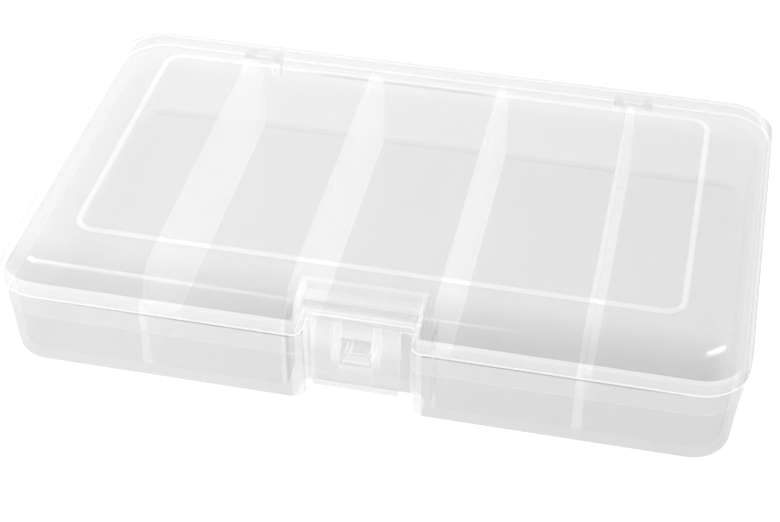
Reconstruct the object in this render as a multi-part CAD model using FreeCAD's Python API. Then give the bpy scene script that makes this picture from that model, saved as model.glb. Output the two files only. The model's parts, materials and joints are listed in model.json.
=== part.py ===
import FreeCAD, Part
import math
import os

# A clear plastic box with five long compartments side by side, one hinged lid over all of them,
# and a snap latch in the middle of the front. Sizes are in millimetres and angles in degrees.
# X runs along the box, Y towards its hinges, Z up. The origin is the middle of the tray's underside.

# The lid's rim, which is the widest part of the box
rim_length = 175.0
rim_depth = 110.0
dome_radius = 9.0              # rounding from the lid's flat top down its sides
crown_corner_radius = 2.5      # corners of the flat top, seen from above

# Heights above the table
lid_edge_height = 22.1         # lower edge of the lid
lid_rim_height = 3.7           # upright band along the lid's lower edge
dome_rise = 4.6                # from the rim's top to the lid's flat top
lid_wall = 1.4
rim_edge_bevel = 0.45

# The raised bead on top of the lid
bead_inset_x = 16.4
bead_inset_y = 17.1
bead_width = 1.5
bead_height = 0.6
bead_edge_bevel = 0.4
bead_corner_radius = 4.5

# The tray
shoulder_gap = 0.3             # between the lid's edge and the tray's shoulder
tray_band_height = 6.0
tray_band_inset = 0.7          # how far the tray's band stands back from the lid's rim
wall_step = 0.5                # from the band's face in to the wall below it
wall_draft_angle = 4.0
tray_wall = 1.7
floor_thickness = 1.8
foot_radius = 2.2
floor_bevel = 1.2
lip_height = 2.6               # upright lip inside the lid's rim, above the shoulder
lip_wall = 1.1
lip_clearance = 0.6
lip_lead = 0.4                 # slope at the top of the lip

# The dividers, thicker at the foot than at the top
divider_count = 4
divider_pitch = 33.9
divider_top_thickness = 1.6
divider_foot_thickness = 2.6
divider_top_gap = 0.6
divider_end_inset = 7.0        # above the tray's shoulder the ends stand back from the lid's rim
divider_corner_radius = 6.5

# The recess in the front of the tray and of the lid's rim, for the latch and a fingertip
recess_half_width = 12.7
recess_depth = 8.4             # from the rim's face to the lid's own wall in the recess
recess_mouth_radius = 2.5
recess_nook_radius = 1.5
recess_step = 0.7              # the tray's recess wall stands behind the lid's

# The open pocket above it in the lid's dome
pocket_half_width = 13.5
pocket_depth = 10.5            # from the rim's face to the pocket's back
ledge_gap = 0.8                # between the rim's top and the ledge that carries the latch
pocket_edge_radius = 1.2
ledge_front_setback = 6.45     # from the rim's face to the ledge's front edge

# The latch tab, which hangs from the ledge
tab_wall = 1.4
tab_setback = 0.8              # its face stands behind the rim's face
tab_half_width = 10.1
tab_foot_height = 7.6
tab_bend_radius = 4.0
tab_corner_radius = 0.9
tab_side_clearance = 0.3
tab_shoulder_clearance = 0.6
tab_hinge_clearance = 0.15
pad_thickness = 0.8            # thicker upper part of the tab, on its inner side
pad_foot_height = 17.7
window_half_width = 3.8
window_foot_height = 14.5
window_top_height = 23.3
window_corner_radius = 0.6
window_rib_width = 1.6
window_rib_depth = 1.0         # beyond the pad
channel_depth = 0.6            # groove below the window that lets the catch slide past

# The catch on the recess wall, which the window snaps over
catch_half_width = 3.4
catch_wall = 1.2
catch_tip_clearance = 0.2
catch_height = 3.4
catch_lift = 0.3               # the nub's underside above the window's lower edge
catch_nose_height = 1.0        # upright part of the nub's tip
catch_nub_depth = 3.0
catch_brace = 3.2              # how much further down the side plates reach at the wall

# The two hinges at the back. A clip on the lid snaps over a bar between two ears on the tray.
hinge_spacing = 101.7          # they stand behind the outer dividers
hinge_knuckle_radius = 2.2
hinge_bar_radius = 0.9
hinge_bar_clearance = 0.06
hinge_swing_clearance = 0.15   # between the ears and the lid's edge as it swings over them
hinge_axis_drop = 1.6          # below the lid's edge
hinge_clip_width = 5.0
hinge_clip_rise = 2.2          # the clip's root on the lid's rim
hinge_ear_width = 2.4
hinge_side_clearance = 0.2
hinge_mouth_width = 1.5        # the clip's opening, narrower than the bar
hinge_mouth_angle = 50.0       # how far below level the opening points, to the back

overrun = 2.0                  # how far a cutting solid runs past what it cuts
tolerance = 0.001              # for finding edges by their place

# Worked out from the sizes above
rim_half_x = rim_length / 2
rim_half_y = rim_depth / 2
rim_corner_radius = dome_radius + crown_corner_radius
rim_front = -rim_half_y
lid_rim_top = lid_edge_height + lid_rim_height
lid_top_height = lid_rim_top + dome_rise
lid_ceiling = lid_top_height - lid_wall
shoulder_height = lid_edge_height - shoulder_gap
band_foot = shoulder_height - tray_band_height
lip_top = shoulder_height + lip_height
lip_inset = lid_wall + lip_clearance
lip_inner_inset = lip_inset + lip_wall
wall_top_inset = tray_band_inset + wall_step
wall_slope = math.tan(math.radians(wall_draft_angle))
wall_foot_inset = wall_top_inset + band_foot * wall_slope
cavity_foot_inset = wall_foot_inset + tray_wall
divider_top = lid_ceiling - divider_top_gap
ledge_foot = lid_rim_top + ledge_gap
ledge_top = ledge_foot + lid_wall
ledge_front = rim_front + ledge_front_setback
pocket_back = rim_front + pocket_depth
recess_back = rim_front + recess_depth
tray_recess_back = recess_back + recess_step
lip_recess_back = recess_back + lid_wall + lip_clearance
cavity_recess_back = lip_recess_back + lip_wall
latch_axis_y = ledge_front - tab_hinge_clearance - tab_wall / 2
latch_axis_z = ledge_top - tab_wall / 2
tab_face = rim_front + tab_setback
tab_inner_face = tab_face + tab_wall
tab_shoulder_height = lid_rim_top + tab_shoulder_clearance
channel_floor = tab_inner_face - channel_depth
catch_tip = channel_floor + catch_tip_clearance
hinge_axis_z = lid_edge_height - hinge_axis_drop
hinge_swing_radius = hinge_knuckle_radius + hinge_swing_clearance
hinge_axis_y = rim_half_y + math.sqrt(hinge_swing_radius ** 2 - hinge_axis_drop ** 2)


def flat(x, y, z=0.0):
    return FreeCAD.Vector(x, y, z)


# A closed outline at one height. Each corner is its x, y and rounding radius.
def rounded_loop(corners, z):
    points = [flat(x, y, z) for x, y, radius in corners]
    starts = []
    ends = []
    middles = []
    for i, corner in enumerate(points):
        radius = corners[i][2]
        to_last = (points[i - 1] - corner).normalize()
        to_next = (points[(i + 1) % len(points)] - corner).normalize()
        half_angle = to_last.getAngle(to_next) / 2
        reach = radius / math.tan(half_angle)
        inward = (to_last + to_next).normalize()
        starts.append(corner + to_last * reach)
        ends.append(corner + to_next * reach)
        middles.append(corner + inward * (radius / math.sin(half_angle) - radius))
    edges = []
    for i, corner in enumerate(corners):
        if corner[2] > 0:
            edges.append(Part.Arc(starts[i], middles[i], ends[i]).toShape())
        edges.append(Part.LineSegment(ends[i], starts[(i + 1) % len(starts)]).toShape())
    return Part.Wire(edges)


def prism(corners, foot, top):
    return Part.Face(rounded_loop(corners, foot)).extrude(flat(0, 0, top - foot))


def tapered(foot_corners, foot, top_corners, top):
    return Part.makeLoft([rounded_loop(foot_corners, foot), rounded_loop(top_corners, top)], True, True)


def block(x0, x1, y0, y1, z0, z1):
    return Part.makeBox(x1 - x0, y1 - y0, z1 - z0, flat(x0, y0, z0))


# A solid of one outline in the YZ plane, pushed along X and centred on x
def slice_along_x(points, x, width):
    wire = Part.makePolygon([flat(x - width / 2, y, z) for y, z in points + points[:1]])
    return Part.Face(wire).extrude(flat(width, 0, 0))


def cylinder_along_x(y, z, radius, x, width):
    return Part.makeCylinder(radius, width, flat(x - width / 2, y, z), flat(1, 0, 0))


def edges_at_height(shape, z):
    return [edge for edge in shape.Edges
            if abs(edge.BoundBox.ZMin - z) < tolerance and abs(edge.BoundBox.ZMax - z) < tolerance]


def plain_corners(inset):
    x = rim_half_x - inset
    y = rim_half_y - inset
    radius = rim_corner_radius - inset
    return [(-x, -y, radius), (x, -y, radius), (x, y, radius), (-x, y, radius)]


# The same outline with the latch recess in its front
def recessed_corners(inset, half_width, back, mouth_radius, nook_radius):
    front_left, front_right, back_right, back_left = plain_corners(inset)
    front = front_left[1]
    return [front_left, (-half_width, front, mouth_radius), (-half_width, back, nook_radius),
            (half_width, back, nook_radius), (half_width, front, mouth_radius),
            front_right, back_right, back_left]


def tray_corners(inset):
    return recessed_corners(inset, recess_half_width, tray_recess_back,
                            recess_mouth_radius, recess_nook_radius)


# Straight below, rounded over at the top, as the lid is outside and inside
def domed_prism(inset, foot, top):
    shape = prism(plain_corners(inset), foot, top)
    return shape.makeFillet(dome_radius - inset, edges_at_height(shape, top))


# The room inside the tray, up to its lip. The recess takes the front of the middle compartment.
def tray_room():
    def outline(inset, grow):
        return recessed_corners(inset + grow, divider_pitch / 2 + grow, cavity_recess_back + grow, 0, 0)
    bevel_top = floor_thickness + floor_bevel
    foot = tapered(outline(cavity_foot_inset, floor_bevel), floor_thickness,
                   outline(cavity_foot_inset, 0), bevel_top)
    return foot.fuse(tapered(outline(cavity_foot_inset, 0), bevel_top, outline(lip_inner_inset, 0), lip_top))


def tray_shell():
    wall = tapered(tray_corners(wall_foot_inset), 0, tray_corners(wall_top_inset), band_foot)
    wall = wall.makeFillet(foot_radius, edges_at_height(wall, 0))
    band = prism(tray_corners(tray_band_inset), band_foot, shoulder_height)
    lip_half = recess_half_width + lid_wall + lip_clearance
    lip_low = recessed_corners(lip_inset, lip_half, lip_recess_back, 0, 0)
    lip_high = recessed_corners(lip_inset + lip_lead, lip_half + lip_lead, lip_recess_back + lip_lead, 0, 0)
    lip_bend = lip_top - lip_wall
    lip = prism(lip_low, shoulder_height, lip_bend)
    lead = tapered(lip_low, lip_bend, lip_high, lip_top)
    return wall.fuse([band, lip, lead]).removeSplitter()


# A lug that joins an upright face at one y to a round eye on the hinge axis
def hinge_lug(face_y, low_z, high_z, x, width):
    centre = flat(0, hinge_axis_y, hinge_axis_z)
    tangents = []
    for z, side in ((low_z, 1), (high_z, -1)):
        away = flat(0, face_y, z) - centre
        bearing = math.atan2(away.z, away.y)
        turn = math.acos(hinge_knuckle_radius / away.Length)
        angle = bearing + side * turn
        tangents.append((centre.y + hinge_knuckle_radius * math.cos(angle),
                         centre.z + hinge_knuckle_radius * math.sin(angle)))
    web = slice_along_x([(face_y, low_z), tangents[0], tangents[1], (face_y, high_z)], x, width)
    eye = cylinder_along_x(hinge_axis_y, hinge_axis_z, hinge_knuckle_radius, x, width)
    return eye.fuse(web)


def hinge_places():
    return [-hinge_spacing / 2, hinge_spacing / 2]


def base_tray():
    tray = tray_shell().cut(tray_room())
    face_y = rim_half_y - tray_band_inset
    ear_offset = (hinge_clip_width + hinge_ear_width) / 2 + hinge_side_clearance
    ears = []
    bores = []
    for x in hinge_places():
        for side in (-1, 1):
            ear_x = x + side * ear_offset
            ears.append(hinge_lug(face_y, band_foot, hinge_axis_z, ear_x, hinge_ear_width))
            bores.append(cylinder_along_x(hinge_axis_y, hinge_axis_z, hinge_bar_radius,
                                          ear_x, hinge_ear_width + overrun))
    return tray.fuse(ears).cut(bores).removeSplitter()


# Straight ends in the tray, and set back above its shoulder with rounded corners
def divider(index):
    x = (index - (divider_count - 1) / 2) * divider_pitch
    foot_half = divider_foot_thickness / 2
    top_half = divider_top_thickness / 2
    section = [flat(x - foot_half, rim_front, floor_thickness),
               flat(x + foot_half, rim_front, floor_thickness),
               flat(x + top_half, rim_front, divider_top),
               flat(x - top_half, rim_front, divider_top)]
    slab = Part.Face(Part.makePolygon(section + section[:1])).extrude(flat(0, rim_depth, 0))
    x0 = x - divider_foot_thickness
    x1 = x + divider_foot_thickness
    end_y = rim_half_y - divider_end_inset
    low = block(x0, x1, -rim_half_y, rim_half_y, 0, shoulder_height)
    high = block(x0, x1, -end_y, end_y, floor_thickness, divider_top)
    corners = [edge for edge in edges_at_height(high, divider_top) if edge.BoundBox.YLength < tolerance]
    high = high.makeFillet(divider_corner_radius, corners)
    above_lip = block(x0, x1, -rim_half_y, rim_half_y, lip_top, lid_top_height)
    room = tray_room().fuse(above_lip)
    return slab.common(low.fuse(high)).common(room).removeSplitter()


def hinge_bar(x):
    length = hinge_clip_width + 2 * hinge_ear_width + 2 * hinge_side_clearance
    return cylinder_along_x(hinge_axis_y, hinge_axis_z, hinge_bar_radius, x, length)


# A nub with a sloping top on two side plates that stand out from the recess wall
def latch_catch():
    wall_y = cavity_recess_back
    foot = window_foot_height + catch_lift
    top = foot + catch_height
    nub_back = catch_tip + catch_nub_depth
    ramp_start = nub_back - catch_wall
    nub = slice_along_x([(catch_tip, foot), (nub_back, foot), (nub_back, top), (ramp_start, top),
                         (catch_tip, foot + catch_nose_height)], 0, 2 * catch_half_width)
    parts = []
    plate_offset = catch_half_width - catch_wall / 2
    for x in (-plate_offset, plate_offset):
        parts.append(slice_along_x([(nub_back - catch_wall, foot), (wall_y, foot - catch_brace),
                                    (wall_y, top), (ramp_start, top)], x, catch_wall))
    return nub.fuse(parts).cut(tray_shell()).removeSplitter()


def lid_bead():
    rings = []
    for grow in (bead_width / 2, -bead_width / 2):
        x = rim_half_x - bead_inset_x + grow
        y = rim_half_y - bead_inset_y + grow
        radius = bead_corner_radius + grow
        corners = [(-x, -y, radius), (x, -y, radius), (x, y, radius), (-x, y, radius)]
        rings.append(prism(corners, lid_ceiling, lid_top_height + bead_height))
    bead = rings[0].cut(rings[1])
    return bead.makeChamfer(bead_edge_bevel, edges_at_height(bead, lid_top_height + bead_height))


# What is cut out of the lid's front for the latch
def latch_openings():
    far_front = rim_front - overrun
    width = pocket_half_width
    above_ledge = block(-width, width, far_front, pocket_back, ledge_top, lid_top_height + overrun)
    beside_tab = block(-width, width, far_front, ledge_front, ledge_foot, ledge_top)
    under_ledge = block(-width, width, far_front, recess_back, lid_rim_top, ledge_foot)
    return above_ledge.fuse([beside_tab, under_ledge]).removeSplitter()


# The pocket's upper edges, where its back and sides meet the dome
def pocket_rim_edges(shape):
    found = []
    for edge in shape.Edges:
        middle = edge.valueAt((edge.FirstParameter + edge.LastParameter) / 2)
        rise = max(dome_radius - (middle.y - rim_front), 0)
        dome_z = lid_top_height - dome_radius + math.sqrt(dome_radius ** 2 - rise ** 2)
        inside = abs(middle.x) < pocket_half_width + tolerance and middle.y < pocket_back + tolerance
        if inside and abs(middle.z - dome_z) < tolerance:
            found.append(edge)
    return found


def lid_shell():
    low = lid_edge_height - dome_radius
    dome = domed_prism(0, low, lid_top_height)
    dome = dome.cut(block(-rim_half_x, rim_half_x, -rim_half_y, rim_half_y, low, lid_rim_top))
    dome = dome.cut(latch_openings())
    dome = dome.makeFillet(pocket_edge_radius, pocket_rim_edges(dome))
    rim_corners = recessed_corners(0, recess_half_width, recess_back, recess_mouth_radius, recess_nook_radius)
    rim = prism(rim_corners, lid_edge_height, lid_rim_top)
    rim = rim.makeChamfer(rim_edge_bevel, edges_at_height(rim, lid_rim_top))
    room = domed_prism(lid_wall, low, lid_ceiling)
    pocket_half = pocket_half_width + lid_wall
    recess_half = recess_half_width + lid_wall
    walls = [block(-pocket_half, pocket_half, rim_front, pocket_back + lid_wall, ledge_foot, lid_ceiling),
             block(-pocket_half, pocket_half, rim_front, recess_back + lid_wall, lid_rim_top, ledge_foot),
             block(-recess_half, recess_half, rim_front, recess_back + lid_wall, low, lid_rim_top)]
    shell = dome.fuse(rim).cut(room.cut(walls)).fuse(lid_bead())
    clips = []
    bores = []
    clip_top = lid_edge_height + hinge_clip_rise
    mouth_half = hinge_mouth_width / 2
    for x in hinge_places():
        clips.append(hinge_lug(rim_half_y, clip_top, lid_edge_height, x, hinge_clip_width))
        bores.append(cylinder_along_x(hinge_axis_y, hinge_axis_z, hinge_bar_radius + hinge_bar_clearance,
                                      x, hinge_clip_width + overrun))
        mouth = block(x - hinge_clip_width, x + hinge_clip_width, hinge_axis_y,
                      hinge_axis_y + hinge_knuckle_radius + overrun,
                      hinge_axis_z - mouth_half, hinge_axis_z + mouth_half)
        mouth.rotate(flat(x, hinge_axis_y, hinge_axis_z), flat(1, 0, 0), -hinge_mouth_angle)
        bores.append(mouth)
    return shell.fuse(clips).cut(bores).removeSplitter()


# The tab in side view: a round edge in the hinge groove, a short shelf, a bend and the hanging plate
def tab_profile(foot):
    half = tab_wall / 2
    bend_y = tab_face + tab_bend_radius
    bend_z = ledge_top - tab_bend_radius
    inner_radius = tab_bend_radius - tab_wall
    slant = math.sqrt(0.5)
    edges = [
        Part.Arc(flat(0, latch_axis_y, latch_axis_z - half), flat(0, latch_axis_y + half, latch_axis_z),
                 flat(0, latch_axis_y, latch_axis_z + half)).toShape(),
        Part.LineSegment(flat(0, latch_axis_y, ledge_top), flat(0, bend_y, ledge_top)).toShape(),
        Part.Arc(flat(0, bend_y, ledge_top),
                 flat(0, bend_y - tab_bend_radius * slant, bend_z + tab_bend_radius * slant),
                 flat(0, tab_face, bend_z)).toShape(),
        Part.LineSegment(flat(0, tab_face, bend_z), flat(0, tab_face, foot)).toShape(),
        Part.LineSegment(flat(0, tab_face, foot), flat(0, tab_inner_face, foot)).toShape(),
        Part.LineSegment(flat(0, tab_inner_face, foot), flat(0, tab_inner_face, bend_z)).toShape(),
        Part.Arc(flat(0, tab_inner_face, bend_z),
                 flat(0, bend_y - inner_radius * slant, bend_z + inner_radius * slant),
                 flat(0, bend_y, ledge_foot)).toShape(),
        Part.LineSegment(flat(0, bend_y, ledge_foot), flat(0, latch_axis_y, ledge_foot)).toShape(),
    ]
    return Part.Face(Part.Wire(edges))


def latch_tab():
    half = pocket_half_width - tab_side_clearance
    wide = tab_profile(tab_foot_height).extrude(flat(2 * half, 0, 0))
    wide.translate(flat(-half, 0, 0))
    outside = block(-half - overrun, -tab_half_width, tab_face - overrun, latch_axis_y,
                    tab_foot_height - overrun, tab_shoulder_height)
    plate = wide.cut([outside, outside.mirror(flat(0, 0, 0), flat(1, 0, 0))])
    pad_top = ledge_foot
    pad_back = tab_inner_face + pad_thickness
    pad = block(-tab_half_width, tab_half_width, tab_inner_face, pad_back, pad_foot_height, pad_top)
    pad = pad.cut(block(-window_half_width, window_half_width, tab_inner_face, pad_back,
                        pad_foot_height, pad_top))
    ribs = []
    rib_x = window_half_width + window_rib_width / 2
    for x in (-rib_x, rib_x):
        ribs.append(slice_along_x([(tab_inner_face, window_foot_height), (pad_back, pad_foot_height),
                                   (pad_back + window_rib_depth, pad_foot_height),
                                   (pad_back + window_rib_depth, pad_top), (tab_inner_face, pad_top)],
                                  x, window_rib_width))
    tab = plate.fuse([pad] + ribs)
    window_corners = [(-window_half_width, window_foot_height), (window_half_width, window_foot_height),
                      (window_half_width, window_top_height), (-window_half_width, window_top_height)]
    window = prism([(x, z, window_corner_radius) for x, z in window_corners], 0, tab_wall + 2 * overrun)
    window.rotate(flat(0, 0, 0), flat(1, 0, 0), 90)
    window.translate(flat(0, tab_inner_face + overrun, 0))
    channel = block(-window_half_width, window_half_width, channel_floor, pad_back + overrun,
                    tab_foot_height - overrun, window_foot_height)
    tab = tab.cut([window, channel]).removeSplitter()
    corners = [edge for edge in tab.Edges
               if edge.BoundBox.ZMax < tab_foot_height + tolerance
               and abs(abs(edge.BoundBox.XMin) - tab_half_width) < tolerance
               and edge.BoundBox.XLength < tolerance]
    return tab.makeFillet(tab_corner_radius, corners)


parts = {"base_tray": base_tray(), "latch_catch": latch_catch(), "lid_shell": lid_shell(),
         "latch_tab": latch_tab()}
for number in range(divider_count):
    parts["divider_" + str(number + 1)] = divider(number)
for side_name, x in zip(("left", "right"), hinge_places()):
    parts["hinge_bar_" + side_name] = hinge_bar(x)

os.makedirs("parts", exist_ok=True)
for name, shape in parts.items():
    shape.exportStep(os.path.join("parts", name + ".step"))
    box = shape.BoundBox
    print(name, "solids", len(shape.Solids), "valid", shape.isValid(), "volume", round(shape.Volume, 1),
          "low", [round(v, 2) for v in (box.XMin, box.YMin, box.ZMin)],
          "high", [round(v, 2) for v in (box.XMax, box.YMax, box.ZMax)])
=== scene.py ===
import json
import math

import bmesh
import bpy
from mathutils import Matrix, Vector

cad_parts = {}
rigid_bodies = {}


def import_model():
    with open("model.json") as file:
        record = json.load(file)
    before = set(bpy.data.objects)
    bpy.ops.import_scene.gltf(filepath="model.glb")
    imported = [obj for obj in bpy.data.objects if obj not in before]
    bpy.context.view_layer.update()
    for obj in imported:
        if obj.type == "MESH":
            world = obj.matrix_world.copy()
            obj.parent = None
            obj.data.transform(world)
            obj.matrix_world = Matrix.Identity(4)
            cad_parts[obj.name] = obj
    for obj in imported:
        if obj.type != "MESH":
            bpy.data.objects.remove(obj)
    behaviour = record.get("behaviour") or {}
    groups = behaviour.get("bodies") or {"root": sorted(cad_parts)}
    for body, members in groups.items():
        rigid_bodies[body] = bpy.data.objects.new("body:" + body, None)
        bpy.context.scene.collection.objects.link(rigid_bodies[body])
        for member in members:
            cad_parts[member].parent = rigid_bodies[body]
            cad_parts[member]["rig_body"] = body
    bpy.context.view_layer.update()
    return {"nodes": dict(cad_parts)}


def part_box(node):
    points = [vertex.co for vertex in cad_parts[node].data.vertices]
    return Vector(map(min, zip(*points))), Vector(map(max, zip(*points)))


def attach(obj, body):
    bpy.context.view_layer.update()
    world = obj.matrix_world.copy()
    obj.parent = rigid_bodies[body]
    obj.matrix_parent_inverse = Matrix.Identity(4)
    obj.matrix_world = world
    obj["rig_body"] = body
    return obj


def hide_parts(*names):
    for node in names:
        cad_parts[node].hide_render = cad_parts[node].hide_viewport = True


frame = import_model()
scene = bpy.context.scene
print("frame loaded:", len(frame["nodes"]), "nodes")


class Wire:
    # a socket that can be used in sums; plain numbers mix in on either side
    def __init__(self, tree, socket):
        self.tree = tree
        self.socket = socket

    def maths(self, operation, a, b=None):
        node = self.tree.nodes.new("ShaderNodeMath")
        node.operation = operation
        for i, value in enumerate([a] if b is None else [a, b]):
            if isinstance(value, Wire):
                self.tree.links.new(value.socket, node.inputs[i])
            else:
                node.inputs[i].default_value = value
        return Wire(self.tree, node.outputs[0])

    def __add__(self, other):
        return self.maths("ADD", self, other)

    def __radd__(self, other):
        return self.maths("ADD", other, self)

    def __sub__(self, other):
        return self.maths("SUBTRACT", self, other)

    def __rsub__(self, other):
        return self.maths("SUBTRACT", other, self)

    def __mul__(self, other):
        return self.maths("MULTIPLY", self, other)

    def __rmul__(self, other):
        return self.maths("MULTIPLY", other, self)

    def over(self, other):
        return self.maths("DIVIDE", self, other)

    def power(self, other):
        return self.maths("POWER", self, other)

    def above(self, other):
        return self.maths("MAXIMUM", self, other)

    def below(self, other):
        return self.maths("MINIMUM", self, other)


class Finish:
    # one node tree and the one call that builds its nodes
    def __init__(self, tree, output):
        self.tree = tree
        self.tree.nodes.clear()
        self.output = tree.nodes.new(output)

    def node(self, kind, settings=None, sockets=None, out=0):
        node = self.tree.nodes.new(kind)
        for key, value in (settings or {}).items():
            setattr(node, key, value)
        for key, value in (sockets or {}).items():
            if isinstance(value, Wire):
                self.tree.links.new(value.socket, node.inputs[key])
            else:
                node.inputs[key].default_value = value
        return Wire(self.tree, node.outputs[out])

    def place(self):
        return self.node("ShaderNodeTexCoord", out="Object")

    def noise(self, where, scale, detail):
        return self.node("ShaderNodeTexNoise", None,
                         {"Vector": where, "Scale": scale, "Detail": detail}, out="Fac")

    def smooth(self, value, low, high):
        return self.node("ShaderNodeMapRange", {"interpolation_type": "SMOOTHSTEP"},
                         {"Value": value, "From Min": low, "From Max": high}, out="Result")

    def bump(self, height, strength, distance):
        return self.node("ShaderNodeBump", None,
                         {"Height": height, "Strength": strength, "Distance": distance}, out="Normal")

    # from one colour to another as the share goes from 0 to 1
    def blend(self, share, first, second):
        return self.node("ShaderNodeMix", {"data_type": "RGBA"}, {0: share, 6: first, 7: second}, out=2)

    # from one shader to another as the share goes from 0 to 1
    def mix(self, share, first, second):
        return self.node("ShaderNodeMixShader", None, {0: share, 1: first, 2: second})

    def surface(self, shader):
        self.tree.links.new(shader.socket, self.output.inputs["Surface"])


def newMaterial(name):
    material = bpy.data.materials.new(name)
    material.use_nodes = True
    material.cycles.emission_sampling = "NONE"
    return material, Finish(material.node_tree, "ShaderNodeOutputMaterial")


# frosted polypropylene, by the place of a surface. haze is the share of light that is scattered, and white is
# its colour. clear is how much of the rest goes straight through. glow is painted light, an emission that
# stands in for light that has travelled inside the wall. graze is how much haze and gloss grow where a surface
# is seen along itself, 1 where it isn't given. The lid has one tone of painted shade down its front, and one of
# painted light along its left and back. The other entries change a finish in a zone, mostly painting light or
# shade there, or draw a lit or a shaded line between two heights.
frosted = {
    "lidSkin": {"white": 0.80, "clear": 0.857, "haze": 0.125, "glow": 0.5, "paintedShadeClear": 0.70, "paintedLightClear": 0.91,
                "zones": {"flank": 0.90}},
    "lidBack": {"white": 1.00, "clear": 0.91, "haze": 0.12, "glow": 0.2, "graze": 0.1},
    "lidRim": {"white": 0.84, "clear": 0.985, "haze": 0.19, "glow": 0.65, "paintedShadeClear": 0.930, "paintedLightClear": 0.93,
               "lit": (0.02275, 0.02240), "litShare": 0.65,
               "zones": {"rear": 0.79, "right": 0.64, "left": 0.77}},
    "rimTop": {"white": 0.90, "clear": 0.967, "haze": 0.18, "glow": 0.20,
               "zones": {"rear": 0.885, "right": 0.74, "left": 0.885}},
    "trayWall": {"white": 0.68, "clear": 0.825, "haze": 0.18, "glow": 0.0, "graze": 0.4,
                 "zones": {"rear": 0.86, "right": 0.88, "under": 0.785}},
    "trayBand": {"white": 0.76, "clear": 0.85, "haze": 0.18, "glow": 0.05, "graze": 0.4,
                 "shaded": (0.02075, 0.02130), "zones": {"rear": 0.868, "right": 0.88}},
    "corner": {"white": 0.85, "clear": 0.89, "haze": 0.18, "glow": 0.15},
    "gap": {"white": 0.80, "clear": 0.985, "haze": 0.03, "glow": 0.0, "graze": 0.1},
    # the step carries a painted highlight: it glows along the front
    "step": {"white": 0.76, "clear": 0.865, "haze": 0.18, "glow": 1.45, "graze": 0.0, "paintedGlowZone": "forward",
             "zones": {"forward": 1.0}},
    "lip": {"white": 0.80, "clear": 0.995, "haze": 0.02, "glow": 0.0, "graze": 0.1},
    "inside": {"white": 0.80, "clear": 0.98, "haze": 0.03, "glow": 0.0, "graze": 0.4, "paintedBackShadow": True},
    "fold": {"white": 0.60, "clear": 0.92, "haze": 0.03, "glow": 0.0, "graze": 0.2},
    "divider": {"white": 0.95, "clear": 0.98, "haze": 0.19, "glow": 0.60, "sloped": True},
    "pad": {"white": 1.00, "clear": 1.0, "haze": 0.22, "glow": 0.95, "graze": 0.3},
    "latch": {"white": 0.92, "clear": 0.985, "haze": 0.19, "glow": 0.34, "ribbed": True,
              "zones": {"toe": 0.82}},
    "catch": {"white": 0.85, "clear": 0.99, "haze": 0.10, "glow": 0.10, "graze": 0.2,
              "lit": (0.0160, 0.0152), "litShare": 0.25},
    "web": {"white": 0.90, "clear": 0.94, "haze": 0.10, "glow": 0.0, "graze": 0.3},
    "pocket": {"white": 1.00, "clear": 0.90, "haze": 0.15, "glow": 0.04, "graze": 0.5},
    "pocketSide": {"white": 1.00, "clear": 0.97, "haze": 0.19, "glow": 0.35, "graze": 0.5},
    "edge": {"white": 1.00, "clear": 1.0, "haze": 0.38, "glow": 0.45},
    "lidEdge": {"white": 1.00, "clear": 1.0, "haze": 0.34, "glow": 0.35,
                "lit": (0.02275, 0.02240), "litShare": 0.90},
    "tabEdge": {"white": 1.00, "clear": 1.0, "haze": 0.55, "glow": 0.70},
    "catchEdge": {"white": 0.90, "clear": 1.0, "haze": 0.15, "glow": 0.20},
    "softEdge": {"white": 1.00, "clear": 1.0, "haze": 0.20, "glow": 0.28},
    "bead": {"white": 1.00, "clear": 0.98, "haze": 0.10, "glow": 0.12},
    "hinge": {"white": 0.90, "clear": 0.985, "haze": 0.06, "glow": 0.2, "graze": 0.3},
}
# parts of the box where a finish changes, mostly to paint light or shade on one side of a part: the axis it
# changes along, and from where to where
zones = {
    "forward": ("Y", -0.0350, -0.0500),
    "rear": ("Y", 0.0480, 0.0530),
    "right": ("X", 0.0840, 0.0868),
    "left": ("X", -0.0800, -0.0860),
    "flank": ("X", 0.0775, 0.0840),
    "under": ("Z", 0.0012, 0.0004),
    "toe": ("Z", 0.0097, 0.0087),
    "backShadowTop": ("Z", 0.0213, 0.0207),
    "backShadowFoot": ("Z", 0.0198, 0.0204),
    "backShadowLeft": ("X", -0.0400, -0.0280),
    "backShadowRight": ("X", 0.0200, 0.0080),
}
# what all finishes have in common
frost = {
    "grazeBlend": 0.35,
    "grazeHaze": 0.30,
    "grazeHazePower": 2.0,
    "grazeGloss": 0.20,
    "grazeGlossPower": 5.0,
    "roughness": 0.35,
    "gloss": 0.045,
    "glossRoughness": 0.15,
    "throughShare": 0.5,     # of the scattered light, what comes out on the far side
    "noiseDetail": 2.0,
    "cloudScale": 28.0,
    "cloudDepth": 0.03,
    "grainScale": 400.0,
    "grainStrength": 0.006,
    "grainDistance": 0.0001,
    "litGlow": 1.05,         # a line of light at an edge
    "shadedShare": 0.85,     # the dark line in the gap under the lid, and how it fades towards the corners
    "shadedClear": 0.50,
    "shadedLeft": (-0.080, -0.040),
    "shadedRight": (0.080, 0.060),
    "backShadowClear": 0.70,     # painted shadow: the dark line along the back wall below the lid
}
# the tab: ribs beside and below its window painted brighter with light and glow, and a deeper tone of painted
# shade below them
paintedRibShading = {
    "innerSide": (0.0034, 0.0042),
    "outerSide": (0.0054, 0.0062),
    "sideFoot": (0.0140, 0.0170),
    "foot": (0.0126, 0.0136),
    "footShare": 0.6,
    "footSide": (0.0036, 0.0048),
    "windowFoot": (0.0140, 0.0146),
    "share": 0.02,
    "glow": 1.5,
    "paintedFootShadeFade": (0.0200, 0.0182),
    "paintedFootShadeClear": 0.93,
}
# painted shade: dividers fade out where the tray's front wall covers them
slope = {
    "along": (0.0, 0.636, 0.771),
    "fade": (-0.0215, -0.0165),
    "least": 0.30,
}
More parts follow.
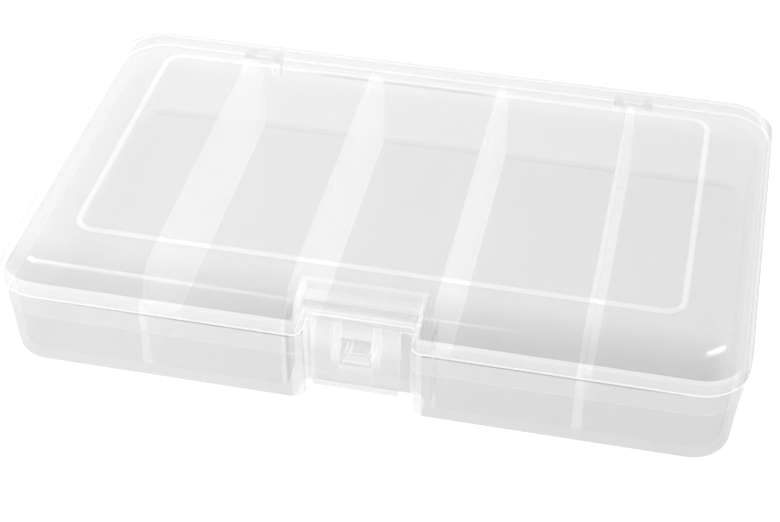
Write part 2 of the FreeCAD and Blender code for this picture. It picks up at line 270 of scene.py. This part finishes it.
# where the lid's skin is painted darker with shade (down its front and right side) and whiter with light (left
# and back)
paintedLidShading = {
    "frontFade": (-0.0535, -0.0410),
    "frontAcross": (-0.080, 0.020),
    "frontLeast": 0.40,
    "rightFade": (0.074, 0.087),
    "rightDepth": 0.04,
    "leftFade": (-0.087, -0.066),
    "backFade": (0.026, 0.050),
}


def grey(level):
    return (level, level, level, 1.0)


def axis(f, where, letter):
    return f.node("ShaderNodeSeparateXYZ", None, {"Vector": where}, out=letter)


# 1 inside a zone, 0 outside it
def within(f, where, zone):
    letter, start, end = zones[zone]
    return f.smooth(axis(f, where, letter), start, end)


# where the lid is painted dark with shade, and where white with light
def paintedLidMasks(f, where):
    x = axis(f, where, "X")
    y = axis(f, where, "Y")
    across = f.smooth(x, *paintedLidShading["frontAcross"]) * (1.0 - paintedLidShading["frontLeast"]) + paintedLidShading["frontLeast"]
    front = (1.0 - f.smooth(y, *paintedLidShading["frontFade"])) * across
    paintedShade = front.above(f.smooth(x, *paintedLidShading["rightFade"]) * paintedLidShading["rightDepth"])
    left = 1.0 - f.smooth(x, *paintedLidShading["leftFade"])
    white = (left.above(f.smooth(y, *paintedLidShading["backFade"])) - paintedShade).above(0.0)
    return paintedShade, white


# where the tab's ribs are painted with light, and where it is deeper with painted shade
def paintedRibMasks(f, where):
    x = axis(f, where, "X")
    aside = x.maths("ABSOLUTE", x)
    z = axis(f, where, "Z")
    sides = f.smooth(aside, *paintedRibShading["innerSide"]) * (1.0 - f.smooth(aside, *paintedRibShading["outerSide"]))
    foot = (1.0 - f.smooth(aside, *paintedRibShading["footSide"])) * (1.0 - f.smooth(z, *paintedRibShading["windowFoot"]))
    foot = foot * f.smooth(z, *paintedRibShading["foot"]) * paintedRibShading["footShare"]
    ribs = (sides * f.smooth(z, *paintedRibShading["sideFoot"])).above(foot)
    return ribs, f.smooth(z, *paintedRibShading["paintedFootShadeFade"])


def clearGlass(f, level):
    return f.node("ShaderNodeBsdfTransparent", None, {"Color": grey(level)})


# painted light and shade: each zone lets a different share of light straight through a finish, so that side
# turns lighter or darker
def withZones(f, look, where, clear):
    for zone, level in look.get("zones", {}).items():
        clear = f.mix(within(f, where, zone), clear, clearGlass(f, level))
    # painted shadow: a darker band along the back wall below the lid
    if "paintedBackShadow" in look:
        backShadow = within(f, where, "rear")
        for side in ("backShadowTop", "backShadowFoot", "backShadowLeft", "backShadowRight"):
            backShadow = backShadow * within(f, where, side)
        clear = f.mix(backShadow, clear, clearGlass(f, frost["backShadowClear"]))
    return clear


def withLines(f, look, where, body):
    if "lit" in look:
        line = f.node("ShaderNodeBsdfPrincipled", None,
                      {"Base Color": grey(0.0), "Roughness": frost["roughness"], "Emission Color": grey(1.0),
                       "Emission Strength": frost["litGlow"]}, out="BSDF")
        along = within(f, where, "forward") * look["litShare"]
        body = f.mix(f.smooth(axis(f, where, "Z"), *look["lit"]) * along, body, line)
    if "shaded" in look:
        x = axis(f, where, "X")
        along = f.smooth(x, *frost["shadedLeft"]) * f.smooth(x, *frost["shadedRight"])
        along = along * within(f, where, "forward")
        line = clearGlass(f, frost["shadedClear"])
        body = f.mix(f.smooth(axis(f, where, "Z"), *look["shaded"]) * along * frost["shadedShare"], body, line)
    return body


def frostedPlastic(part):
    look = frosted[part]
    material, f = newMaterial(part + "Frosted")
    where = f.place()
    cloud = f.noise(where, frost["cloudScale"], frost["noiseDetail"])
    grain = f.noise(where, frost["grainScale"], frost["noiseDetail"])
    graze = f.node("ShaderNodeLayerWeight", None, {"Blend": frost["grazeBlend"]}, out="Facing")
    grazes = look.get("graze", 1.0)
    share = graze.power(frost["grazeHazePower"]) * (frost["grazeHaze"] * grazes) + look["haze"]
    share = share + (cloud - 0.5) * frost["cloudDepth"]
    clear = clearGlass(f, look["clear"])
    glow = grey(1.0)
    # painted shade down the lid's front and right side; painted light, and glow, along its left and back
    if "paintedShadeClear" in look:
        paintedShade, white = paintedLidMasks(f, where)
        glow = f.blend(white, grey(0.0), grey(1.0))
        clear = f.mix(paintedShade, f.mix(white, clear, clearGlass(f, look["paintedLightClear"])), clearGlass(f, look["paintedShadeClear"]))
    # painted light and glow on the tab's ribs, painted shade on the tab below them
    if "ribbed" in look:
        ribs, paintedFootShade = paintedRibMasks(f, where)
        share = share + ribs * paintedRibShading["share"]
        clear = f.mix(paintedFootShade * (1.0 - ribs), clear, clearGlass(f, paintedRibShading["paintedFootShadeClear"] * look["clear"]))
        glow = f.blend(ribs, grey(1.0), grey(paintedRibShading["glow"]))
    # painted highlight: the glow only inside the named zone
    if "paintedGlowZone" in look:
        glow = f.blend(within(f, where, look["paintedGlowZone"]), grey(0.0), grey(1.0))
    # painted shade: dividers fainter towards the front wall
    if "sloped" in look:
        height = f.node("ShaderNodeVectorMath", {"operation": "DOT_PRODUCT"}, {0: where, 1: slope["along"]},
                        out="Value")
        share = share * (f.smooth(height, *slope["fade"]) * (1.0 - slope["least"]) + slope["least"])
    clear = withZones(f, look, where, clear)
    normal = f.bump(grain, frost["grainStrength"], frost["grainDistance"])
    # the skin's glow is painted light, an emission
    skin = f.node("ShaderNodeBsdfPrincipled", None,
                  {"Base Color": grey(look["white"]), "Roughness": frost["roughness"], "Normal": normal,
                   "Emission Color": glow, "Emission Strength": look["glow"]}, out="BSDF")
    through = f.node("ShaderNodeBsdfTranslucent", None, {"Color": grey(look["white"]), "Normal": normal})
    gloss = f.node("ShaderNodeBsdfAnisotropic", None,
                   {"Color": grey(1.0), "Roughness": frost["glossRoughness"], "Normal": normal})
    body = f.mix(share.below(1.0).above(0.0), clear, f.mix(frost["throughShare"], skin, through))
    body = withLines(f, look, where, body)
    glossShare = graze.power(frost["grazeGlossPower"]) * (frost["grazeGloss"] * grazes) + frost["gloss"]
    f.surface(f.mix(glossShare, body, gloss))
    return material


finishes = {part: frostedPlastic(part) for part in frosted}
finishOrder = list(frosted)

# how far a face has to lean one way to count as looking that way
leaning = {
    "inward": 0.1,
    "little": 0.2,
    "some": 0.3,
    "half": 0.5,
    "much": 0.7,
    "mostly": 0.9,
    "nearly": 0.95,
    "fully": 0.99,
}
# each moulding is the frame's own shape with smooth faces and softened edges
moulding = {
    "mergeDistance": 0.000002,
    "flatAngle": 0.2,                # degrees between faces that count as one
    "sharpAngle": 32.0,              # degrees from which an edge is sharp
    "edgeSoftness": 0.00020,
    "edgeSteps": 2,
    "slack": 0.0001,
    # lid
    "lidTopHeight": 0.0304,
    "rimTop": 0.0258,
    "rimHalf": (0.0875, 0.055),
    "pocketHalf": 0.0152,
    "pocketBack": -0.0430,
    "ledgeTop": 0.02805,
    "backFold": 0.0440,              # the lid's shoulder behind this is its back
    # tray
    "floorTop": 0.0018,
    "bevelTop": 0.0030,
    "bandFoot": 0.0158,              # the wall's step
    "shoulderTop": 0.0218,
    "mouth": (0.0106, 0.0165),       # corners of the recess behind the tab
    "mouthDepth": -0.0430,
    "earRoot": 0.0546,               # hinge ears, and the eye that holds the bar
    "earEye": 0.0564,
    # dividers and tab
    "padBack": -0.0505,              # the divider's end in the front wall
    "webFoot": 0.0266,               # the tab above this is its web
    # edges that stay sharp
    "hingeFace": 0.0535,
    "hingeReach": 0.0600,
    "hingeTop": 0.0245,
    "frontFace": -0.0530,
    "stepSlack": 0.0003,
    "plainSide": (0.0800, 0.0450),
    "plainEdges": ("inside", "fold", "gap", "lip", "step", "pad", "web", "lidBack", "lidSkin", "bead"),
    # finish of the softened edges, which carries a painted highlight along them
    "edgeFinish": {"base_tray": "edge", "lid_shell": "lidEdge", "latch_tab": "tabEdge",
                   "latch_catch": "catchEdge"},
    "dividerEdge": "softEdge",
}


# above 0 where a face looks out of the box
def outwardness(middle, normal):
    x, y = moulding["rimHalf"]
    return normal.x * middle.x / x + normal.y * middle.y / y


def lidFinish(middle, normal):
    if middle.y > moulding["rimHalf"][1] + moulding["slack"]:
        return "hinge"
    if middle.z > moulding["lidTopHeight"] + moulding["slack"] / 2:
        return "bead"
    inPocket = abs(middle.x) < moulding["pocketHalf"] and middle.y < moulding["pocketBack"]
    if inPocket:
        if abs(normal.x) > leaning["half"] and middle.z > moulding["rimTop"] - moulding["slack"]:
            return "pocketSide"
        if middle.z > moulding["ledgeTop"] + moulding["slack"]:
            return "pocket"
        if middle.z > moulding["rimTop"]:
            return "web"
    if middle.y > moulding["backFold"] and middle.z > moulding["rimTop"] - moulding["slack"]:
        return "lidBack"
    if normal.z < -leaning["some"] and middle.z > moulding["rimTop"]:
        return "inside"
    if middle.z > moulding["rimTop"] + moulding["slack"]:
        return "lidSkin"
    if normal.z > leaning["half"]:
        return "rimTop"
    if outwardness(middle, normal) < 0 and not inPocket or normal.z < -leaning["mostly"]:
        return "inside"
    return "lidRim"


def trayFinish(middle, normal):
    if middle.y > moulding["earRoot"] and abs(normal.y) < leaning["fully"]:
        return "trayBand" if normal.z < -leaning["little"] and middle.y < moulding["earEye"] else "hinge"
    if middle.z > moulding["shoulderTop"] + moulding["slack"]:
        return "lip"
    if middle.z > moulding["shoulderTop"] - moulding["slack"] and normal.z > leaning["mostly"]:
        return "gap"
    if normal.z > leaning["little"] and middle.z < moulding["floorTop"] + moulding["slack"]:
        return "inside"
    if normal.z > leaning["little"] and moulding["floorTop"] < middle.z < moulding["bevelTop"]:
        return "fold" if middle.y > 0 and normal.y < -leaning["half"] else "inside"
    if normal.z < -leaning["much"] and middle.z > moulding["bevelTop"]:
        return "step" if middle.y < 0 else "inside"
    low, high = moulding["mouth"]
    if low < abs(middle.x) < high and middle.y < moulding["mouthDepth"] and abs(normal.x) < leaning["nearly"]:
        return "corner"
    if middle.z > moulding["floorTop"] and outwardness(middle, normal) < -leaning["inward"]:
        return "inside"
    return "trayBand" if middle.z > moulding["bandFoot"] - moulding["slack"] else "trayWall"


def finishOf(name, middle, normal):
    if name == "lid_shell":
        return lidFinish(middle, normal)
    if name == "base_tray":
        return trayFinish(middle, normal)
    if name.startswith("divider"):
        return "pad" if middle.y < moulding["padBack"] else "divider"
    if name == "latch_catch":
        return "catch"
    return "web" if middle.z > moulding["webFoot"] else "latch"


# 1 for an edge that gets the soft rounding with its painted highlight: it is sharp and stands outside
def edgeWeight(edge):
    if len(edge.link_faces) != 2 or edge.calc_face_angle(0.0) < math.radians(moulding["sharpAngle"]):
        return 0.0
    parts = [finishOrder[face.material_index] for face in edge.link_faces]
    middle = (edge.verts[0].co + edge.verts[1].co) / 2
    sideX, sideY = moulding["plainSide"]
    atStep = abs(middle.z - moulding["bandFoot"]) < moulding["stepSlack"] and middle.y > moulding["frontFace"]
    atSide = abs(middle.x) > sideX and abs(middle.y) < sideY
    atHinge = (middle.y > moulding["hingeFace"] and abs(middle.x) < moulding["hingeReach"]
               and middle.z < moulding["hingeTop"])
    if atStep or atSide or atHinge or "hinge" in parts:
        return 0.0
    return 0.0 if all(part in moulding["plainEdges"] for part in parts) else 1.0


def softenedCopy(name):
    node = frame["nodes"][name]
    mesh = node.data.copy()
    mesh.materials.clear()
    for part in finishOrder:
        mesh.materials.append(finishes[part])
    work = bmesh.new()
    work.from_mesh(mesh)
    bmesh.ops.remove_doubles(work, verts=work.verts, dist=moulding["mergeDistance"])
    bmesh.ops.dissolve_limit(work, angle_limit=math.radians(moulding["flatAngle"]), verts=work.verts,
                             edges=work.edges)
    for face in work.faces:
        face.smooth = True
        part = finishOf(name, face.calc_center_median(), face.normal)
        face.material_index = finishOrder.index(part)
    weight = work.edges.layers.float.new("bevel_weight_edge")
    for edge in work.edges:
        edge[weight] = edgeWeight(edge)
        edge.smooth = edge.calc_face_angle(0.0) < math.radians(moulding["sharpAngle"])
    work.to_mesh(mesh)
    work.free()
    piece = bpy.data.objects.new(name + "Moulded", mesh)
    scene.collection.objects.link(piece)
    bevel = piece.modifiers.new("softEdges", "BEVEL")
    bevel.width = moulding["edgeSoftness"]
    bevel.segments = moulding["edgeSteps"]
    bevel.limit_method = "WEIGHT"
    bevel.harden_normals = True
    bevel.use_clamp_overlap = True
    # the softened edges take a finish with a painted highlight
    bevel.material = finishOrder.index(moulding["edgeFinish"].get(name, moulding["dividerEdge"]))
    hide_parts(name)
    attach(piece, node["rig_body"])


for name in frame["nodes"]:
    if not name.startswith("hinge_bar"):
        softenedCopy(name)
print("mouldings made")

# the two hinge bars: one rod with rounded ends, repeated across the back
hingeBars = {
    "nodes": ("hinge_bar_left", "hinge_bar_right"),
    "Rounding": 0.0003,
    "Steps": 49,
    "Sides": 32,
    "flatEnd": 0.9,
}


def addInputs(group, sizes):
    for title, value in sizes.items():
        kind = "NodeSocketInt" if isinstance(value, int) else "NodeSocketFloat"
        kind = "NodeSocketVector" if isinstance(value, Vector) else kind
        group.interface.new_socket(title, in_out="INPUT", socket_type=kind)
    group.interface.new_socket("Geometry", in_out="OUTPUT", socket_type="NodeSocketGeometry")


def rodTree(sizes, material):
    group = bpy.data.node_groups.new("repeatedRods", "GeometryNodeTree")
    addInputs(group, sizes)
    g = Finish(group, "NodeGroupOutput")
    given = group.nodes.new("NodeGroupInput")
    size = {title: Wire(group, given.outputs[title]) for title in sizes}
    half = g.node("ShaderNodeCombineXYZ", None, {"X": size["Length"] * 0.5})
    other = g.node("ShaderNodeVectorMath", {"operation": "SCALE"}, {0: half, "Scale": -1.0})
    line = g.node("GeometryNodeCurvePrimitiveLine", None, {"Start": other, "End": half})
    line = g.node("GeometryNodeResampleCurve", None, {"Curve": line, "Count": size["Steps"]})
    along = g.node("GeometryNodeSplineParameter", out="Length")
    fromEnd = along.below(size["Length"] - along)
    least = 1.0 - size["Rounding"].over(size["Radius"])
    swell = g.node("ShaderNodeMapRange", None,
                   {"Value": fromEnd, "From Max": size["Rounding"], "To Min": least, "To Max": 1.0},
                   out="Result")
    line = g.node("GeometryNodeSetCurveRadius", None, {"Curve": line, "Radius": swell})
    ring = g.node("GeometryNodeCurvePrimitiveCircle", None,
                  {"Resolution": size["Sides"], "Radius": size["Radius"]})
    rod = g.node("GeometryNodeCurveToMesh", None, {"Curve": line, "Profile Curve": ring, "Fill Caps": True})
    places = g.node("GeometryNodeMeshLine", None,
                    {"Count": size["Count"], "Start Location": size["First"], "Offset": size["Step"]})
    rods = g.node("GeometryNodeInstanceOnPoints", None, {"Points": places, "Instance": rod})
    rods = g.node("GeometryNodeRealizeInstances", None, {"Geometry": rods})
    rods = g.node("GeometryNodeSetMaterial", None, {"Geometry": rods, "Material": material})
    group.links.new(rods.socket, g.output.inputs["Geometry"])
    return group


def buildHingeBars():
    centres = []
    for name in hingeBars["nodes"]:
        low, high = [Vector(corner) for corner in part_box(name)]
        centres.append((low + high) / 2)
    sizes = {"Length": high.x - low.x, "Radius": (high.z - low.z) / 2, "Count": len(centres),
             "First": centres[0], "Step": centres[1] - centres[0]}
    sizes.update({title: hingeBars[title] for title in ("Rounding", "Steps", "Sides")})
    group = rodTree(sizes, finishes["hinge"])
    holder = bpy.data.objects.new("hingeBarsHolder", bpy.data.meshes.new("hingeBarsHolder"))
    scene.collection.objects.link(holder)
    modifier = holder.modifiers.new("rods", "NODES")
    modifier.node_group = group
    for item in group.interface.items_tree:
        if item.in_out == "INPUT":
            modifier[item.identifier] = sizes[item.name]
    mesh = bpy.data.meshes.new_from_object(holder.evaluated_get(bpy.context.evaluated_depsgraph_get()))
    bpy.data.objects.remove(holder)
    mesh.materials.clear()
    mesh.materials.append(finishes["hinge"])
    for face in mesh.polygons:
        face.use_smooth = abs(face.normal.x) < hingeBars["flatEnd"]
    piece = bpy.data.objects.new("hingeBarsMoulded", mesh)
    scene.collection.objects.link(piece)
    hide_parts(*hingeBars["nodes"])
    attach(piece, frame["nodes"][hingeBars["nodes"][0]]["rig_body"])


buildHingeBars()
print("hinge bars made")

# camera, worked out from the box's own edges in the photograph
view = {
    "photoWidth": 780,
    "focalPixels": 1814.27,
    "sensorWidth": 36.0,
    "azimuth": 11.5786,
    "elevation": 39.5232,
    "roll": 0.6204,
    "place": (0.068122, -0.348505, 0.295316),
    "nearest": 0.01,
    "farthest": 20.0,
}


def addCamera():
    az = math.radians(view["azimuth"])
    el = math.radians(view["elevation"])
    roll = math.radians(view["roll"])
    back = Vector((math.sin(az) * math.cos(el), -math.cos(az) * math.cos(el), math.sin(el)))
    level = (-back).cross(Vector((0, 0, 1))).normalized()
    upright = level.cross(-back)
    right = level * math.cos(roll) + upright * math.sin(roll)
    up = upright * math.cos(roll) - level * math.sin(roll)
    data = bpy.data.cameras.new("photoCamera")
    data.sensor_width = view["sensorWidth"]
    data.lens = view["focalPixels"] * view["sensorWidth"] / view["photoWidth"]
    data.clip_start = view["nearest"]
    data.clip_end = view["farthest"]
    camera = bpy.data.objects.new("photoCamera", data)
    scene.collection.objects.link(camera)
    turn = Matrix((right, up, back)).transposed().to_4x4()
    camera.matrix_world = Matrix.Translation(Vector(view["place"])) @ turn
    scene.camera = camera


addCamera()
print("camera placed")

# floor and light of a white studio
studio = {
    "floorSize": 6.0,
    "floorDrop": 0.0003,
    "floorColor": 0.15,
    "floorRoughness": 0.9,
    "glowLeft": 1.10,
    "glowRight": 0.96,
    "glowAcross": (-0.09, 0.09),
    "skyLow": 0.45,
    "skyHigh": 1.15,
    "skySide": (-0.55, 0.45, 0.7),
    "bounces": 10,
    "layersSeenThrough": 32,
}
# softboxes: the two places they reach between, their width and their power
softboxes = {
    "leftBox": {"ends": ((-0.60, -0.04, 0.80), (-0.49, -0.095, 0.865)), "width": 0.15, "power": 1.0},
    "leftStrip": {"ends": ((-0.49, -0.095, 0.865), (-0.38, -0.14, 0.905)), "width": 0.03, "power": 0.20},
    "leftMiddle": {"ends": ((-0.38, -0.14, 0.905), (-0.27, -0.185, 0.93)), "width": 0.028, "power": 0.14},
    "leftTail": {"ends": ((-0.27, -0.185, 0.93), (-0.15, -0.225, 0.955)), "width": 0.026, "power": 0.11},
    "rightBox": {"ends": ((0.24, 0.07, 0.97), (0.56, 0.46, 0.69)), "width": 0.16, "power": 2.2},
}


def addFloor():
    half = studio["floorSize"] / 2
    low = -studio["floorDrop"]
    corners = [(-half, -half, low), (half, -half, low), (half, half, low), (-half, half, low)]
    mesh = bpy.data.meshes.new("studioFloor")
    mesh.from_pydata(corners, [], [(0, 1, 2, 3)])
    floor = bpy.data.objects.new("studioFloor", mesh)
    scene.collection.objects.link(floor)
    material, f = newMaterial("studioFloor")
    # painted light: the floor glows brighter on its left than on its right, so the box seen over it turns
    # darker to the right
    across = f.smooth(axis(f, f.place(), "X"), *studio["glowAcross"])
    glow = f.blend(across, grey(studio["glowLeft"]), grey(studio["glowRight"]))
    f.surface(f.node("ShaderNodeBsdfPrincipled", None,
                     {"Base Color": grey(studio["floorColor"]), "Roughness": studio["floorRoughness"],
                      "Specular IOR Level": 0.0, "Emission Color": glow, "Emission Strength": 1.0}, out="BSDF"))
    mesh.materials.append(material)


def addSky():
    world = bpy.data.worlds.new("studioSky")
    world.use_nodes = True
    world.cycles.sampling_method = "NONE"
    f = Finish(world.node_tree, "ShaderNodeOutputWorld")
    where = f.node("ShaderNodeTexCoord", out="Generated")
    side = f.node("ShaderNodeVectorMath", {"operation": "DOT_PRODUCT"},
                  {0: where, 1: Vector(studio["skySide"]).normalized()}, out="Value")
    level = f.node("ShaderNodeMapRange", {"interpolation_type": "SMOOTHSTEP"},
                   {"Value": side, "From Min": -1.0, "To Min": studio["skyLow"], "To Max": studio["skyHigh"]},
                   out="Result")
    f.surface(f.node("ShaderNodeBackground", None, {"Color": grey(1.0), "Strength": level}))
    scene.world = world


def addSoftbox(name, box):
    first, last = [Vector(end) for end in box["ends"]]
    data = bpy.data.lights.new(name, "AREA")
    data.shape = "RECTANGLE"
    data.size = (last - first).length
    data.size_y = box["width"]
    data.energy = box["power"]
    data.use_shadow = False
    lamp = bpy.data.objects.new(name, data)
    scene.collection.objects.link(lamp)
    along = (last - first).normalized()
    towards = ((first + last) / 2).normalized()
    across = towards.cross(along).normalized()
    turn = Matrix((along, across, along.cross(across))).transposed().to_4x4()
    lamp.matrix_world = Matrix.Translation((first + last) / 2) @ turn


addFloor()
addSky()
for name, box in softboxes.items():
    addSoftbox(name, box)
scene.view_settings.view_transform = "Standard"
scene.cycles.transparent_max_bounces = studio["layersSeenThrough"]
scene.cycles.max_bounces = studio["bounces"]
print("studio lit")
